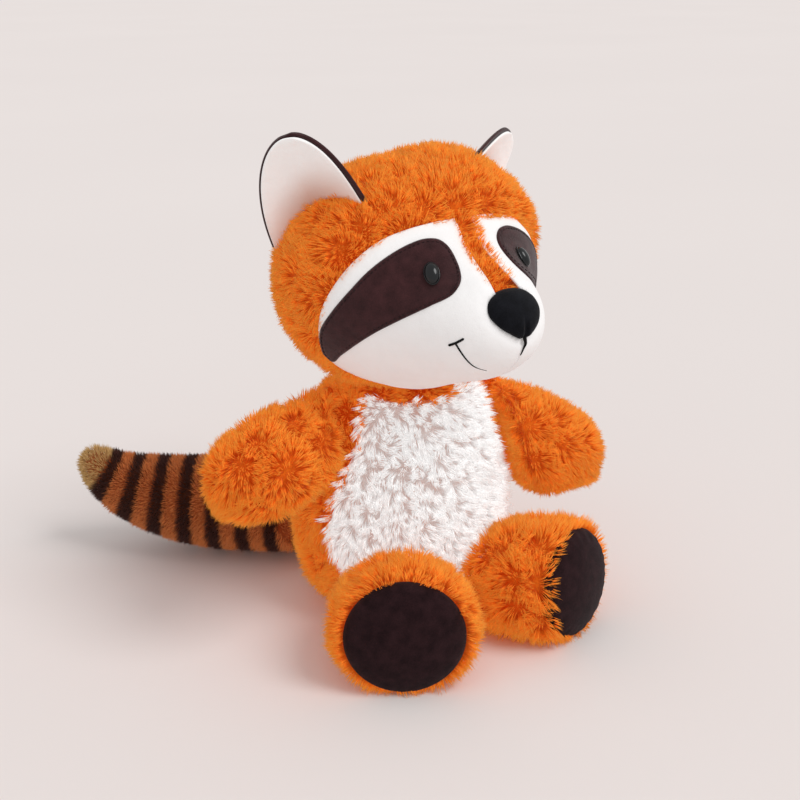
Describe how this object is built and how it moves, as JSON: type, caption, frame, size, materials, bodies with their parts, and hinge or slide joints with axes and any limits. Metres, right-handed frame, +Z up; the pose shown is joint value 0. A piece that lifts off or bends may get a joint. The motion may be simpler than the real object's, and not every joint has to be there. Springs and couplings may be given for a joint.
{
  "type": "sitting plush raccoon",
  "caption": "Sitting plush raccoon sewn from fur-fabric panels over fibre stuffing, with a masked face, upright ears and a thick banded tail.",
  "frame": {"origin": "middle of the flat seat panel that the toy sits on", "axes": "+Z up, the face towards -Y, the toy's own left side towards +X"},
  "size_m": [0.2965, 0.2902, 0.3019],
  "materials": {
    "orange_fur": "long curly fur fabric",
    "white_fur": "long tufted fur fabric",
    "white_velour": "short velour",
    "brown_suede": "short brushed suede cloth",
    "black_velvet": "velvet",
    "striped_plush": "short dense pile with dark bands",
    "black_plastic": "polished",
    "pale_plastic": "moulded",
    "fibre_fill": "loose polyester fibre"
  },
  "bodies": {
    "torso": {"torso_cover_left": "orange_fur", "torso_cover_right": "orange_fur", "belly_panel": "white_fur", "seat_panel": "orange_fur", "torso_fill": "fibre_fill"},
    "head": {"head_cover_left": "orange_fur", "head_cover_right": "orange_fur", "forehead_gusset": "orange_fur", "cheek_left": "white_velour", "cheek_right": "white_velour", "nose": "black_velvet", "eye_patch_left": "brown_suede", "eye_patch_right": "brown_suede", "eye_left": "black_plastic", "eye_right": "black_plastic", "eye_washer_left": "pale_plastic", "eye_washer_right": "pale_plastic", "head_fill": "fibre_fill"},
    "ear_left": {"ear_left_front": "white_velour", "ear_left_back": "brown_suede"},
    "ear_right": {"ear_right_front": "white_velour", "ear_right_back": "brown_suede"},
    "arm_left": {"arm_left_front_panel": "orange_fur", "arm_left_back_panel": "orange_fur", "arm_left_fill": "fibre_fill"},
    "arm_right": {"arm_right_front_panel": "orange_fur", "arm_right_back_panel": "orange_fur", "arm_right_fill": "fibre_fill"},
    "leg_left": {"leg_left_cover": "orange_fur", "leg_left_sole": "brown_suede", "leg_left_fill": "fibre_fill"},
    "leg_right": {"leg_right_cover": "orange_fur", "leg_right_sole": "brown_suede", "leg_right_fill": "fibre_fill"},
    "tail": {"tail_cover_left": "striped_plush", "tail_cover_right": "striped_plush", "tail_fill": "fibre_fill"}
  },
  "joints": [
    {"name": "neck_nod", "type": "hinge", "parent": "torso", "child": "head", "pos_m": [0, 0, 0.146], "axis": [1, 0, 0], "range_deg": [-12, 12], "stiffness_Nm_per_rad": 2},
    {"name": "ear_left_bend", "type": "hinge", "parent": "head", "child": "ear_left", "pos_m": [0.05765, 0.00773, 0.26236], "axis": [0.5146, 0.6243, -0.5878], "range_deg": [-20, 20], "stiffness_Nm_per_rad": 0.2},
    {"name": "ear_right_bend", "type": "hinge", "parent": "head", "child": "ear_right", "pos_m": [-0.05877, -0.00143, 0.26236], "axis": [0.7376, -0.6525, 0.1736], "range_deg": [-20, 20], "stiffness_Nm_per_rad": 0.2},
    {"name": "arm_left_swing", "type": "hinge", "parent": "torso", "child": "arm_left", "pos_m": [0.044, 0, 0.131], "axis": [0, 0, -1], "range_deg": [-20, 25], "stiffness_Nm_per_rad": 0.4},
    {"name": "arm_right_swing", "type": "hinge", "parent": "torso", "child": "arm_right", "pos_m": [-0.044, 0, 0.131], "axis": [0, 0, 1], "range_deg": [-20, 25], "stiffness_Nm_per_rad": 0.4},
    {"name": "leg_left_swing", "type": "hinge", "parent": "torso", "child": "leg_left", "pos_m": [0.02, -0.03, 0.022], "axis": [0, 0, 1], "range_deg": [-6, 15], "stiffness_Nm_per_rad": 0.6},
    {"name": "leg_right_swing", "type": "hinge", "parent": "torso", "child": "leg_right", "pos_m": [-0.02, -0.03, 0.022], "axis": [0, 0, -1], "range_deg": [-6, 15], "stiffness_Nm_per_rad": 0.6},
    {"name": "tail_wag", "type": "hinge", "parent": "torso", "child": "tail", "pos_m": [0, 0.038, 0.036], "axis": [0, 0, 1], "range_deg": [-20, 20], "stiffness_Nm_per_rad": 0.4}
  ]
}
